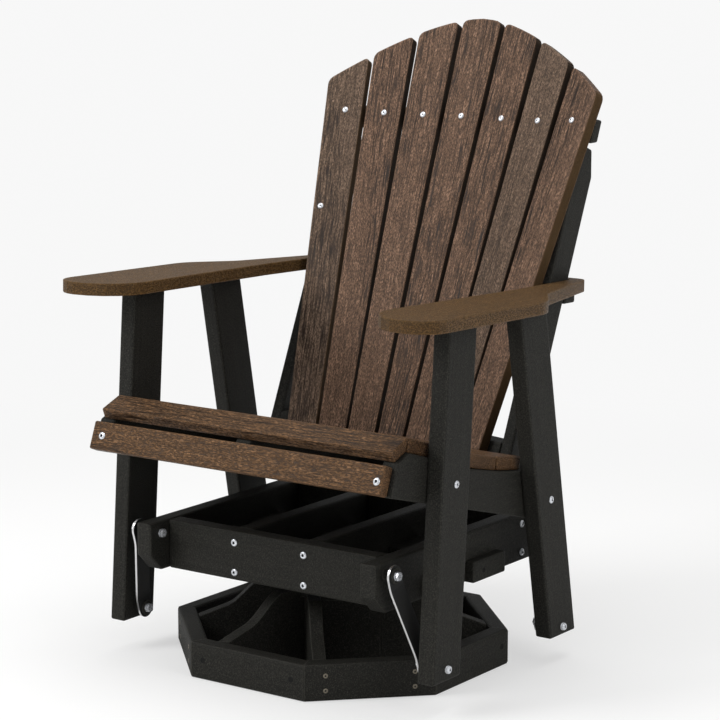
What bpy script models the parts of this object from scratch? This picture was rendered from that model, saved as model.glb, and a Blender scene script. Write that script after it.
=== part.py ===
"""Adirondack swivel glider: a slatted garden chair hung on four links over a turning platform.

Metres, +Z up. The chair faces -Y, +X is its near side in the photograph, the origin lies on
the floor on the swivel axis. Every board is a separate object. Each body that moves has an
empty on its joint's axis, and its pieces are parented to that empty.
"""
import bmesh
import bpy
from math import atan2, cos, pi, radians, sin, sqrt, tan
from mathutils import Matrix, Vector

# General sizes
LUMBER = 0.032                  # thickness of the black structural boards
BOARD = 0.022                   # thickness of the brown boards
TOUCH = 0.0003                  # gap between pieces that touch
LUMBER_ROUND = 0.0035           # radius of the black boards' edges
BOARD_ROUND = 0.003             # radius of the brown boards' edges
LEG_INNER = 0.3185              # half of the space between the legs, which sets the widths over the base
OVERRUN = 0.02                  # how far a cutter passes the face that it cuts
ROUND_SIDES = 24                # sides of a bolt, washer or sleeve
ROUND_STEPS = 2                 # segments across a rounded edge
PLAIN_STEPS = 1                 # and across an edge that is only broken
SHARP_ANGLE = 35.0              # degrees between two faces above which their edge is rounded
SMOOTH_ANGLE = 30.0             # and below which it is shaded smooth
SAME_WAY_SHARE = 0.999          # cosine above which two directions count as one
SNAP = 0.000003                 # points closer than this are one point

# Base: a ring of eight mitred boards on edge, six ribs, a square post and a round plate on it
RIM_HALF_X = 0.2845
RIM_HALF_Y = 0.275
RIM_CORNER = 0.162              # how much each corner of the ring is cut back, both ways
RIM_HEIGHT = 0.0655
RIM_ROUND = 0.005
POST_TURN = 40.2                # degrees from -Y towards +X that one side of the post faces
POST_HALF = 0.068
RIBS = (                        # degrees from -Y, sideways shift, side of the post that it meets
    (-53.1, -0.0227, -1), (-18.4, 0.0060, -1), (POST_TURN, -0.0550, 0),
    (POST_TURN + 90.0, -0.0550, 1), (161.6, 0.0060, 1), (POST_TURN + 180.0, -0.0550, 2),
)
RIB_THICK = 0.023
RIB_LIFT = 0.004                # the ribs stay this far off the floor, the post stands on it
RIB_REACH = 0.268               # distance out at which the rib's top edge has its foot height
RIB_FOOT = 0.0595
RIB_SLOPE_SHARE = 0.39          # rise of the straight part of the rib's top edge
SHOULDER_START = 0.2027         # distances out between which the top edge swings up to the plate
SHOULDER_END = 0.1394
SHOULDER_RISE = 0.026
SHOULDER_STEPS = 8
HUB_RADIUS = 0.100
HUB_THICK = 0.014
HUB_TOP = 0.137
HUB_SIDES = 48

# Swivel: two pressed plates with a ball race between them
PLATE_HALF = 0.088
PLATE_THICK = 0.003
PLATE_CORNER = 0.012
PLATE_BORE = 0.038
RACE_RADIUS = 0.055
RACE_ROUND = 0.0014
RACE_WIDTH = 0.007
LIP_GAP = 0.0015                # running gap between the race and the plates' lips
LIP_THICK = 0.0025
LIP_CLEAR = 0.0012              # gap between a lip's edge and the other plate
PLANK_HEIGHT = 0.038
PLANK_BOTTOM = 0.167
PLANK_NEAR = 0.015              # edge of each plank nearest the swivel axis
PLANK_WIDTH = 0.1025
PLANK_END = 0.0177              # how far the planks stand out past the side rails

# Platform: a frame of boards on edge, let down over the two swivel planks
LINK_SPACE = 0.0612             # from a side rail to the legs on its side
SIDE_RAIL_INNER = LEG_INNER - LINK_SPACE - LUMBER
SIDE_RAIL_HALF = 0.2565
FRAME_BOTTOM = 0.167
FRAME_HEIGHT = 0.088
RAIL_END_CUT = 0.030            # chamfer of a side rail's lower corners
END_RAIL_FACE = 0.1753          # inner face of the front and rear rails
INNER_RAIL_SHARE = 0.34         # the inner rails' place between the middle and the side rails

# Glide links and their bolts
PIVOT_Z = 0.235
PIVOT_Y = 0.228
FOOT_FRONT = (-0.181, 0.0757)   # y and z of the front links' lower bolts
FOOT_REAR = (0.189, 0.0625)
LINK_WIDTH = 0.036
LINK_THICK = 0.004
LINK_TOP_GAP = 0.0182           # from a side rail's face to the middle of the strap's thickness
LINK_FOOT_GAP = 0.0145          # and from a leg's face
LINK_TOP_X = SIDE_RAIL_INNER + LUMBER + LINK_TOP_GAP
LINK_FOOT_X = LEG_INNER - LINK_FOOT_GAP
LINK_FLAT = 0.0222              # from each eye's middle to where the strap starts to slant
LINK_BEND_SOFT = 0.008
BOLT_RADIUS = 0.00475
BOLT_PLAY = 0.0004              # radial play of a link on the bolt that locates it
OPEN_PLAY = 0.0042              # radial play where a rear link meets the chair
SLEEVE_RADIUS = 0.0085
WASHER_RADIUS = 0.0135
WASHER_THICK = 0.002
NUT_RADIUS = 0.008
NUT_THICK = 0.007
HEAD_RADIUS = 0.0068
HEAD_THICK = 0.004
BOLT_SUNK = 0.003               # how far a bolt's parts reach into the board that carries them
FACE_GAP = 0.0004               # side play between a link and the washer or sleeve next to it

# Legs and arms
FRONT_LEG_BOTTOM = 0.0555
REAR_LEG_BOTTOM = 0.0470
LEG_WIDTH = 0.0825
FRONT_LEG_LEAN = 4.36           # degrees, top towards the rear
REAR_LEG_LEAN = -10.6           # degrees, top towards the front
ARM_THICK = BOARD
ARM_TOP = 0.6717                # height of the arm's top over the swivel axis
ARM_FALL = 1.85                 # degrees, down towards the rear
ARM_ROUND = 0.006
ARM_FRONT = 0.311               # how far the arm reaches to the front
ARM_REAR = 0.360
ARM_WIDTH = 0.143
ARM_INSET = 0.0635              # how far the arm reaches in past the legs
ARM_WAIST = 0.070               # its width where it has narrowed
ARM_WAIST_GAP = 0.005           # the waist's inner edge from the upright
ARM_TAPER_START = 0.050
ARM_TAPER_END = 0.140
ARM_TAIL_OUT = 0.021            # how far the tail stands out and in past the upright
ARM_TAIL_IN = 0.011
ARM_TIP_SHARE = 0.35            # plan radii of the front corners, as shares of the arm's width
ARM_HEEL_SHARE = 0.62
ARM_TAPER_ROUND = 0.090         # plan radii of the other corners, front to rear
ARM_WAIST_ROUND = 0.080
ARM_TAIL_ROUND = 0.018
ARM_HOOK_ROUND = 0.004
ARM_ROUND_STEPS = 2
HOOK_GAP = 0.001                # gap between the arm and the upright that it hooks behind
ARC_STEPS = 5

# Seat
SEAT_END_GAP = 0.0085           # from the seat boards' ends to the legs
SEAT_HALF = LEG_INNER - SEAT_END_GAP
SEAT_RAIL_INNER = LEG_INNER - LUMBER
SEAT_START = (-0.2449, 0.4510)  # y and z of the rail's top under the first slat's front edge
SEAT_SLAT_THICK = 0.024
SEAT_SLAT_WIDTH = 0.089
SEAT_SLAT_GAP = 0.006
SEAT_PITCH = (17.5, 19.0, 13.0) # degrees, down towards the rear, slat by slat
REAR_SLAT_PITCH = 9.5
REAR_SLAT_SIDE = 0.080          # the rear slat's width at its ends
REAR_SLAT_CLEAR = 0.008         # gap between its curved rear edge and the back slats
NOSE_FALL = 21.0                # degrees, down towards the front
NOSE_WIDTH = 0.034
NOSE_THICK = 0.020
NOSE_GAP = 0.003
RAIL_NOSE_LENGTH = 0.0355       # the rail's top edge under the nose slat
APRON_LEAN = 21.2               # degrees, top towards the rear
APRON_HEIGHT = 0.050
SEAT_RAIL_END = 0.178
SEAT_RAIL_BOTTOM = (-0.305, 0.3868)  # a point of the rail's lower edge
SEAT_RAIL_FALL = 15.5
CENTRE_RAIL_RISE = 0.022        # the centre rail's lower edge over the side rails' one
SEAT_FRAME_ROUND = LUMBER_ROUND

# Back
LEAN_SHARE = 0.4046             # rearward run of the back per unit of height
BACK_START = 0.0038             # y of the middle slat's front face, carried down to the floor
CROWN = 0.0335                  # how far the outer slats stand forward of the middle one
FOOT_SHARES = (                 # x of each slat's inner and outer edge, carried down to the floor
    (-0.0635, 0.0635), (0.0798, 0.2225), (0.2210, 0.3631), (0.3648, 0.5027),
)
TOP_SHARES = (                  # and at the height of the top, both as shares of half the leg space
    (-0.1320, 0.1320), (0.1645, 0.4150), (0.4545, 0.6974), (0.7349, 0.9825),
)
SLAT_FOOT = 0.345               # height of the slats' lower ends
BACK_TOP = 1.1155
ARCH_HALF_SHARE = 0.9262        # half the arch's span, as a share of half the leg space
ARCH_DROP = 0.1195
ARCH_POWER_SHARE = 1.65
SLAT_CORNER = 0.010
SLAT_CORNER_STEPS = 3
SLAT_TOP_STEPS = 4
SOLVE_STEPS = 8                 # rounds of the search for a point on the back's arch
BRACE_DROP = 0.191              # the upper brace's middle below the back's top
BRACE_MIDDLE = BACK_TOP - BRACE_DROP
BRACE_HEIGHT = 0.042            # measured along the back
BRACE_END = 0.0062              # how far the brace stands out past the fan's edge
BRACE_CLIP = 0.012
LOWER_RAIL_MIDDLE = 0.364
LOWER_RAIL_HEIGHT = 0.056
SLAT_SEAT = 0.0008              # gap between a slat and the rail that it is screwed to
UPRIGHT_THICK = 0.023
UPRIGHT_GAP = 0.0195            # from an upright to the seat rail on its side
UPRIGHT_INNER = SEAT_RAIL_INNER - UPRIGHT_GAP - UPRIGHT_THICK
UPRIGHT_DEPTH = 0.058
UPRIGHT_FRONT = (0.158, 0.4087) # y and z of a point of its front edge
UPRIGHT_LEAN = 23.7
UPRIGHT_BOTTOM = 0.300
UPRIGHT_TOP_DEPTH = 0.035       # its top is cut upright this far behind its front corner
UPRIGHT_TOP_GAP = 0.0006        # gap between its top and the upper brace
CROSS_RAIL_TOP = 0.334
CROSS_RAIL_WIDTH = 0.052
ARM_RAIL_DEPTH = 0.036
ARM_RAIL_THICK = 0.022
ARM_RAIL_SHORT = 0.001          # how far it ends short of the uprights' outer faces


def material(name, colour, roughness, metallic):
    """A plain Principled material."""
    made = bpy.data.materials.new(name)
    made.use_nodes = True
    shader = made.node_tree.nodes["Principled BSDF"]
    shader.inputs["Base Color"].default_value = (*colour, 1.0)
    shader.inputs["Roughness"].default_value = roughness
    shader.inputs["Metallic"].default_value = metallic
    made.diffuse_color = (*colour, 1.0)
    return made


def body(name, place, parent=None):
    """An empty on a joint's axis that carries one moving body."""
    empty = bpy.data.objects.new(name, None)
    bpy.context.scene.collection.objects.link(empty)
    empty.location = Vector(place)
    if parent:
        empty.parent = parent
        empty.location = Vector(place) - pivot_of(parent)
    return empty


def pivot_of(empty):
    """Where a body's empty stands in the world."""
    place = Vector(empty.location)
    while empty.parent:
        empty = empty.parent
        place += empty.location
    return place


def finish(name, bm, carrier, looks, place=(0.0, 0.0, 0.0), turn=None):
    """Turn a bmesh into a named object on its body, at a place and turn in the world."""
    bmesh.ops.recalc_face_normals(bm, faces=bm.faces)
    mesh = bpy.data.meshes.new(name)
    bm.to_mesh(mesh)
    bm.free()
    mesh.materials.append(looks)
    mesh.shade_smooth()
    mesh.set_sharp_from_angle(angle=radians(SMOOTH_ANGLE))
    piece = bpy.data.objects.new(name, mesh)
    bpy.context.scene.collection.objects.link(piece)
    piece.parent = carrier
    piece.location = Vector(place) - pivot_of(carrier)
    if turn is not None:
        piece.rotation_euler = turn.to_euler()
    return piece


def tool(piece, name, bm, operation):
    """Cut a solid out of a piece, or join one to it, with a hidden helper and a Boolean."""
    helper = finish(name, bm, piece.parent, piece.data.materials[0])
    helper.hide_render = True
    helper.display_type = "WIRE"
    cut = piece.modifiers.new(name, "BOOLEAN")
    cut.operation = operation
    cut.solver = "EXACT"
    cut.object = helper


def sharp_edges(bm):
    """Edges where two faces meet at more than the sharp angle."""
    limit = radians(SHARP_ANGLE)
    return [e for e in bm.edges if len(e.link_faces) == 2 and e.calc_face_angle() > limit]


def soften(bm, edges, radius, steps=ROUND_STEPS):
    """Round the given edges."""
    bmesh.ops.recalc_face_normals(bm, faces=bm.faces)
    bmesh.ops.bevel(bm, geom=edges, offset=radius, segments=steps, profile=0.5,
                    affect="EDGES", material=-1, clamp_overlap=True)


def prism(outline, low, high, axis):
    """A bmesh of an outline extruded from low to high along an axis.

    The outline's pairs are (y, z) along X, (x, z) along Y and (x, y) along Z.
    """
    spot = "XYZ".index(axis)
    along = Vector([float(i == spot) for i in range(3)])
    places = []
    for pair in outline:
        place = list(pair)
        place.insert(spot, low)
        places.append(place)
    bm = bmesh.new()
    face = bm.faces.new([bm.verts.new(place) for place in places])
    grown = bmesh.ops.extrude_face_region(bm, geom=[face])
    moved = [v for v in grown["geom"] if isinstance(v, bmesh.types.BMVert)]
    bmesh.ops.translate(bm, verts=moved, vec=along * (high - low))
    bmesh.ops.recalc_face_normals(bm, faces=bm.faces)
    return bm


def block(size):
    """A bmesh box centred on its own origin."""
    bm = bmesh.new()
    bmesh.ops.create_cube(bm, size=1.0)
    bmesh.ops.scale(bm, vec=Vector(size), verts=bm.verts)
    return bm


def rod(radius, low, high, y, z, sides=ROUND_SIDES):
    """A bmesh cylinder along X between two values of x."""
    bm = bmesh.new()
    place = Matrix.Translation(((low + high) / 2, y, z)) @ Matrix.Rotation(pi / 2, 4, "Y")
    bmesh.ops.create_cone(bm, cap_ends=True, segments=sides, radius1=radius, radius2=radius,
                          depth=abs(high - low), matrix=place)
    return bm


def drum(radius, low, high, sides=HUB_SIDES):
    """A bmesh cylinder along Z on the swivel axis."""
    bm = bmesh.new()
    bmesh.ops.create_cone(bm, cap_ends=True, segments=sides, radius1=radius, radius2=radius,
                          depth=high - low, matrix=Matrix.Translation((0.0, 0.0, (low + high) / 2)))
    return bm


def trim(bm, point, normal):
    """Cut away what lies beyond a plane and close the cut."""
    everything = list(bm.verts) + list(bm.edges) + list(bm.faces)
    cut = bmesh.ops.bisect_plane(bm, geom=everything, dist=SNAP, plane_co=Vector(point),
                                 plane_no=Vector(normal), clear_outer=True)
    rim = [e for e in cut["geom_cut"] if isinstance(e, bmesh.types.BMEdge) and e.is_boundary]
    if rim:
        bmesh.ops.contextual_create(bm, geom=rim)


def rounded_outline(corners, steps=ARC_STEPS):
    """A closed plan outline whose corners (x, y, radius) become arcs."""
    points = []
    count = len(corners)
    for i, (x, y, radius) in enumerate(corners):
        here = Vector((x, y))
        before = (Vector(corners[i - 1][:2]) - here).normalized()
        after = (Vector(corners[(i + 1) % count][:2]) - here).normalized()
        half = before.angle(after) / 2
        reach = radius / tan(half)
        centre = here + (before + after).normalized() * (radius / sin(half))
        start = here + before * reach - centre
        end = here + after * reach - centre
        sweep = start.angle_signed(end)
        for k in range(steps + 1):
            points.append(centre + Matrix.Rotation(-sweep * k / steps, 2) @ start)
    return [(p.x, p.y) for p in points]


def ring(inner, outer, low, high):
    """A bmesh ring on the swivel axis, spun from its rectangular section."""
    bm = bmesh.new()
    section = ((inner, low), (outer, low), (outer, high), (inner, high))
    corners = [bm.verts.new((x, 0.0, z)) for x, z in section]
    sides = [bm.edges.new((corners[i], corners[(i + 1) % 4])) for i in range(4)]
    bmesh.ops.spin(bm, geom=corners + sides, cent=(0.0, 0.0, 0.0), axis=(0.0, 0.0, 1.0),
                   angle=2 * pi, steps=HUB_SIDES, use_merge=True)
    bmesh.ops.remove_doubles(bm, verts=bm.verts, dist=SNAP)
    return bm


# Base

def ring_corners(inset):
    """Plan corners of the base ring, moved inwards by a distance."""
    half_x = RIM_HALF_X - inset
    half_y = RIM_HALF_Y - inset
    cut = RIM_CORNER - inset * (2 - sqrt(2))
    right = [(half_x, -(half_y - cut)), (half_x, half_y - cut), (half_x - cut, half_y)]
    left = [(-(half_x - cut), half_y), (-half_x, half_y - cut), (-half_x, -(half_y - cut))]
    return right + left + [(-(half_x - cut), -half_y), (half_x - cut, -half_y)]


RIM_NAMES = ("right", "rear_right", "rear", "rear_left",
             "left", "front_left", "front", "front_right")


def make_rim(root, looks):
    """Eight boards on edge, mitred where they meet."""
    outer = [Vector(p) for p in ring_corners(0.0)]
    inner = [Vector(p) for p in ring_corners(LUMBER)]
    for i, side in enumerate(RIM_NAMES):
        j = (i + 1) % len(RIM_NAMES)
        back_off = (outer[j] - outer[i]).normalized() * TOUCH
        plan = [outer[i] + back_off, outer[j] - back_off, inner[j] - back_off, inner[i] + back_off]
        bm = prism([tuple(p) for p in plan], 0.0, RIM_HEIGHT, "Z")
        run = back_off.normalized()
        long_edges = []
        for e in bm.edges:
            way = (e.verts[0].co - e.verts[1].co).normalized()
            if abs(way.xy.dot(run)) > SAME_WAY_SHARE:
                long_edges.append(e)
        soften(bm, long_edges, RIM_ROUND)
        finish("base_rim_" + side, bm, root, looks)


def rib_height(radius):
    """Height of a rib's top edge: straight at first, then an ogee up to the round plate."""
    along = min(max((SHOULDER_START - radius) / (SHOULDER_START - SHOULDER_END), 0.0), 1.0)
    slope = RIB_SLOPE_SHARE * (RIB_REACH - radius)
    return RIB_FOOT + slope + SHOULDER_RISE * along * along * (3 - 2 * along)


def post_side(number):
    """Outward direction of one of the post's four sides."""
    angle = radians(POST_TURN + 90.0 * number)
    return Vector((sin(angle), -cos(angle), 0.0))


def make_ribs(root, looks):
    """Six ribs from the ring to the post, their inner ends let in under the round plate."""
    notch = HUB_RADIUS + TOUCH
    under_hub = HUB_TOP - HUB_THICK - TOUCH
    reach = RIM_HALF_X + OVERRUN
    top = []
    for k in range(SHOULDER_STEPS + 1):
        out = SHOULDER_END + (SHOULDER_START - SHOULDER_END) * k / SHOULDER_STEPS
        top.append((out, rib_height(out)))
    top.append((reach, rib_height(reach)))
    profile = [(0.0, RIB_LIFT), (0.0, under_hub), (notch, under_hub), (notch, rib_height(SHOULDER_END))]
    profile += top + [(reach, RIB_LIFT)]
    walls = ring_corners(LUMBER)
    for number, (angle, shift, side) in enumerate(RIBS):
        bm = prism(profile, shift - RIB_THICK / 2, shift + RIB_THICK / 2, "Y")
        heading = Matrix.Rotation(radians(angle - 90.0), 4, "Z")
        bmesh.ops.transform(bm, matrix=heading, verts=bm.verts)
        for i, corner in enumerate(walls):
            run = Vector(walls[(i + 1) % len(walls)]) - Vector(corner)
            outward = Vector((run.y, -run.x, 0.0)).normalized()
            trim(bm, Vector((*corner, 0.0)) - outward * TOUCH, outward)
        facing = post_side(side)
        trim(bm, facing * (POST_HALF + TOUCH), -facing)
        finish(f"base_rib_{number + 1}", bm, root, looks)


def make_hub(root, looks):
    """The post in the middle and the round plate that the swivel is screwed to."""
    height = HUB_TOP - HUB_THICK - TOUCH
    bm = block((2 * POST_HALF, 2 * POST_HALF, height))
    bmesh.ops.translate(bm, verts=bm.verts, vec=(0.0, 0.0, height / 2))
    bmesh.ops.rotate(bm, verts=bm.verts, matrix=Matrix.Rotation(radians(POST_TURN), 3, "Z"))
    upright = [e for e in bm.edges if abs((e.verts[0].co - e.verts[1].co).z) > height / 2]
    soften(bm, upright, LUMBER_ROUND)
    finish("base_post", bm, root, looks)
    bm = drum(HUB_RADIUS, HUB_TOP - HUB_THICK, HUB_TOP)
    soften(bm, [e for e in sharp_edges(bm) if e.verts[0].co.z > HUB_TOP - TOUCH], LUMBER_ROUND)
    finish("base_hub_plate", bm, root, looks)


# Swivel

def plate_outline():
    """Square plate with rounded corners."""
    s = PLATE_HALF
    r = PLATE_CORNER
    return rounded_outline([(-s, -s, r), (s, -s, r), (s, s, r), (-s, s, r)])


def swivel_plate(name, low, carrier, looks, lip_inner, lip_low, lip_high):
    """A square pressed plate with a round opening and a turned lip."""
    plate = finish(name, prism(plate_outline(), low, low + PLATE_THICK, "Z"), carrier, looks)
    bore = drum(PLATE_BORE, low - OVERRUN, low + PLATE_THICK + OVERRUN)
    tool(plate, name + "_bore_cutter", bore, "DIFFERENCE")
    tool(plate, name + "_lip", ring(lip_inner, lip_inner + LIP_THICK, lip_low, lip_high), "UNION")


def make_swivel(root, platform, looks):
    """Lower plate and ball race on the base, upper plate under the planks."""
    lower = HUB_TOP + TOUCH
    upper = PLANK_BOTTOM - TOUCH - PLATE_THICK
    sunk = PLATE_THICK / 2
    inner_lip = RACE_RADIUS - RACE_WIDTH / 2 - LIP_GAP - LIP_THICK
    swivel_plate("swivel_lower_plate", lower, root, looks, inner_lip,
                 lower + PLATE_THICK - sunk, upper - LIP_CLEAR)
    outer_lip = RACE_RADIUS + RACE_WIDTH / 2 + LIP_GAP
    swivel_plate("swivel_upper_plate", upper, platform, looks, outer_lip,
                 lower + PLATE_THICK + LIP_CLEAR, upper + sunk)
    race = ring(RACE_RADIUS - RACE_WIDTH / 2, RACE_RADIUS + RACE_WIDTH / 2,
                lower + PLATE_THICK + TOUCH, upper - TOUCH)
    soften(race, sharp_edges(race), RACE_ROUND, PLAIN_STEPS)
    finish("swivel_ball_race", race, root, looks)


# Platform

def plank_notch(side):
    """Cutter for the notch that a swivel plank sits in, across the whole platform."""
    near = side * (PLANK_NEAR - TOUCH)
    far = side * (PLANK_NEAR + PLANK_WIDTH + TOUCH)
    bm = block((2 * (SIDE_RAIL_INNER + LUMBER + OVERRUN), abs(far - near), PLANK_HEIGHT + TOUCH + OVERRUN))
    middle = PLANK_BOTTOM + (PLANK_HEIGHT + TOUCH - OVERRUN) / 2
    bmesh.ops.translate(bm, verts=bm.verts, vec=(0.0, (near + far) / 2, middle))
    return bm


def notch_for_planks(rail):
    """Let a rail down over both planks."""
    for side, end in ((-1, "front"), (1, "rear")):
        tool(rail, rail.name + "_notch_" + end, plank_notch(side), "DIFFERENCE")


def bolt_parts(side, start, link_x, outward):
    """Radius and span along X of each part of a bolt that a link turns on.

    The sleeve fills the space from the board's face to the link, the shank passes the link,
    and the washer and head or nut hold it on.
    """
    near = link_x - outward * (LINK_THICK / 2 + FACE_GAP)
    far = link_x + outward * (LINK_THICK / 2 + FACE_GAP)
    washer = far + outward * WASHER_THICK
    end = washer + outward * NUT_THICK
    sunk = start - outward * BOLT_SUNK
    spans = ((SLEEVE_RADIUS, sunk, near), (BOLT_RADIUS, sunk, washer),
             (WASHER_RADIUS, far, washer), (NUT_RADIUS, washer - outward * WASHER_THICK / 2, end))
    return [(radius, side * a, side * b) for radius, a, b in spans]


def add_bolt(piece, label, parts, y, z):
    """Join the parts of a bolt to the board that carries it."""
    for i, (radius, low, high) in enumerate(parts):
        sides = 6 if radius == NUT_RADIUS else ROUND_SIDES
        bm = rod(radius, min(low, high), max(low, high), y, z, sides)
        tool(piece, f"{piece.name}_{label}_{i + 1}", bm, "UNION")


def make_platform(platform, looks):
    """Two planks on the swivel, two long side rails, two end rails and two inner rails."""
    for side, end in ((-1, "front"), (1, "rear")):
        bm = block((2 * (SIDE_RAIL_INNER + LUMBER + PLANK_END), PLANK_WIDTH, PLANK_HEIGHT))
        soften(bm, sharp_edges(bm), LUMBER_ROUND)
        middle = (0.0, side * (PLANK_NEAR + PLANK_WIDTH / 2), PLANK_BOTTOM + PLANK_HEIGHT / 2)
        finish("swivel_plank_" + end, bm, platform, looks, middle)
    top = FRAME_BOTTOM + FRAME_HEIGHT
    half = SIDE_RAIL_HALF
    cut = RAIL_END_CUT
    profile = [(-half, FRAME_BOTTOM + cut), (-half + cut, FRAME_BOTTOM), (half - cut, FRAME_BOTTOM),
               (half, FRAME_BOTTOM + cut), (half, top), (-half, top)]
    for side, hand in ((1, "right"), (-1, "left")):
        low, high = sorted((side * SIDE_RAIL_INNER, side * (SIDE_RAIL_INNER + LUMBER)))
        bm = prism(profile, low, high, "X")
        soften(bm, sharp_edges(bm), LUMBER_ROUND)
        rail = finish("platform_rail_" + hand, bm, platform, looks)
        notch_for_planks(rail)
        for end, y in (("front", -PIVOT_Y), ("rear", PIVOT_Y)):
            face = SIDE_RAIL_INNER + LUMBER
            add_bolt(rail, end + "_bolt", bolt_parts(side, face, LINK_TOP_X, 1), y, PIVOT_Z)
            nut = sorted((side * (SIDE_RAIL_INNER + BOLT_SUNK), side * (SIDE_RAIL_INNER - NUT_THICK)))
            bm = rod(NUT_RADIUS, nut[0], nut[1], y, PIVOT_Z, 6)
            tool(rail, f"{rail.name}_{end}_nut", bm, "UNION")
        length = 2 * (END_RAIL_FACE - TOUCH)
        bm = block((LUMBER, length, FRAME_HEIGHT))
        soften(bm, sharp_edges(bm), LUMBER_ROUND)
        middle = (side * INNER_RAIL_SHARE * SIDE_RAIL_INNER, 0.0, FRAME_BOTTOM + FRAME_HEIGHT / 2)
        notch_for_planks(finish("platform_inner_rail_" + hand, bm, platform, looks, middle))
    for side, end in ((-1, "front"), (1, "rear")):
        bm = block((2 * (SIDE_RAIL_INNER - TOUCH), LUMBER, FRAME_HEIGHT))
        soften(bm, sharp_edges(bm), LUMBER_ROUND)
        middle = (0.0, side * (END_RAIL_FACE + LUMBER / 2), FRAME_BOTTOM + FRAME_HEIGHT / 2)
        finish("platform_rail_" + end, bm, platform, looks, middle)


# Glide links

def link_shift(along, length):
    """How far outwards the strap has gone at a distance down from its upper eye."""
    share = (along - LINK_FLAT) / (length - 2 * LINK_FLAT)
    return (LINK_FOOT_X - LINK_TOP_X) * min(max(share, 0.0), 1.0)


def strap_outline(length):
    """Outline of a strap with half-round ends, its upper eye at zero and the other one below it."""
    points = []
    for middle, start in ((0.0, 0.0), (-length, pi)):
        for k in range(ROUND_SIDES // 2 + 1):
            turn = start + 2 * pi * k / ROUND_SIDES
            points.append((LINK_WIDTH / 2 * cos(turn), middle + LINK_WIDTH / 2 * sin(turn)))
    return points


def make_link(name, carrier, side, end, foot, play, looks):
    """A flat steel strap with round ends, joggled outwards from the platform to the leg."""
    top = Vector((end * PIVOT_Y, PIVOT_Z))
    run = Vector(foot) - top
    length = run.length
    bm = prism(strap_outline(length), LINK_TOP_X - LINK_THICK / 2, LINK_TOP_X + LINK_THICK / 2, "X")
    for bend in (LINK_FLAT, length - LINK_FLAT):
        for offset in (-LINK_BEND_SOFT, 0.0, LINK_BEND_SOFT):
            everything = list(bm.verts) + list(bm.edges) + list(bm.faces)
            bmesh.ops.bisect_plane(bm, geom=everything, dist=SNAP,
                                   plane_co=(0.0, 0.0, -bend - offset), plane_no=(0.0, 0.0, 1.0))
    for v in bm.verts:
        before = link_shift(-v.co.z - LINK_BEND_SOFT, length)
        after = link_shift(-v.co.z + LINK_BEND_SOFT, length)
        v.co.x += (before + 2 * link_shift(-v.co.z, length) + after) / 4
    if side < 0:
        bmesh.ops.scale(bm, vec=(-1.0, 1.0, 1.0), verts=bm.verts)
    bmesh.ops.recalc_face_normals(bm, faces=bm.faces)
    tilt = Matrix.Rotation(atan2(run.x, -run.y), 4, "X")
    strap = finish(name, bm, carrier, looks, (0.0, top.x, top.y), tilt)
    for label, x, hole, (y, z) in (("top", LINK_TOP_X, BOLT_PLAY, top), ("foot", LINK_FOOT_X, play, foot)):
        low, high = sorted((side * (x - OVERRUN), side * (x + OVERRUN)))
        tool(strap, f"{name}_{label}_hole", rod(BOLT_RADIUS + hole, low, high, y, z), "DIFFERENCE")


# Legs and arms

def arm_under(y):
    """Height of the arms' underside at a place along the chair."""
    return ARM_TOP - ARM_THICK / cos(radians(ARM_FALL)) - y * tan(radians(ARM_FALL))


def make_leg(name, carrier, side, foot, lean, bottom, looks):
    """A leaning board from just over the floor to the underside of the arm."""
    slope = tan(radians(lean))
    half = LEG_WIDTH / cos(radians(lean)) / 2
    low = [(foot[0] + (bottom - foot[1]) * slope + s * half, bottom) for s in (-1, 1)]
    high = []
    for s in (1, -1):
        edge = foot[0] + s * half
        fall = tan(radians(ARM_FALL))
        rise = (arm_under(edge) - TOUCH - foot[1]) / (1 + slope * fall)
        high.append((edge + rise * slope, foot[1] + rise))
    bm = prism(low + high, *sorted((side * LEG_INNER, side * (LEG_INNER + LUMBER))), "X")
    soften(bm, sharp_edges(bm), LUMBER_ROUND)
    leg = finish(name, bm, carrier, looks)
    add_bolt(leg, "bolt", bolt_parts(side, LEG_INNER, LINK_FOOT_X, -1), *foot)
    outer = LEG_INNER + LUMBER
    head = sorted((side * (outer - BOLT_SUNK), side * (outer + HEAD_THICK)))
    tool(leg, name + "_head", rod(HEAD_RADIUS, head[0], head[1], *foot), "UNION")


def make_arm(name, carrier, side, looks):
    """A paddle-shaped arm that narrows to the rear and hooks in behind the upright."""
    upright_out = UPRIGHT_INNER + UPRIGHT_THICK
    hook_x = upright_out + HOOK_GAP
    hook_y = upright_back(ARM_TOP) + HOOK_GAP
    inner = LEG_INNER - ARM_INSET
    outer = inner + ARM_WIDTH
    waist = upright_out + ARM_WAIST_GAP
    tail_out = upright_out + ARM_TAIL_OUT
    tail_in = UPRIGHT_INNER - ARM_TAIL_IN
    corners = [
        (inner, -ARM_FRONT, ARM_HEEL_SHARE * ARM_WIDTH), (outer, -ARM_FRONT, ARM_TIP_SHARE * ARM_WIDTH),
        (outer, ARM_TAPER_START, ARM_TAPER_ROUND), (waist + ARM_WAIST, ARM_TAPER_END, ARM_WAIST_ROUND),
        (tail_out, ARM_REAR, ARM_TAIL_ROUND), (tail_in, ARM_REAR, ARM_TAIL_ROUND),
        (tail_in, hook_y, ARM_HOOK_ROUND), (hook_x, hook_y, ARM_HOOK_ROUND),
        (waist, ARM_TAPER_END, ARM_WAIST_ROUND),
    ]
    bm = prism(rounded_outline([(side * x, y, r) for x, y, r in corners]), -ARM_THICK, 0.0, "Z")
    soften(bm, sharp_edges(bm), ARM_ROUND, ARM_ROUND_STEPS)
    fall = Matrix.Rotation(radians(-ARM_FALL), 4, "X")
    finish(name, bm, carrier, looks, (0.0, 0.0, ARM_TOP), fall)


# Seat

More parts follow.
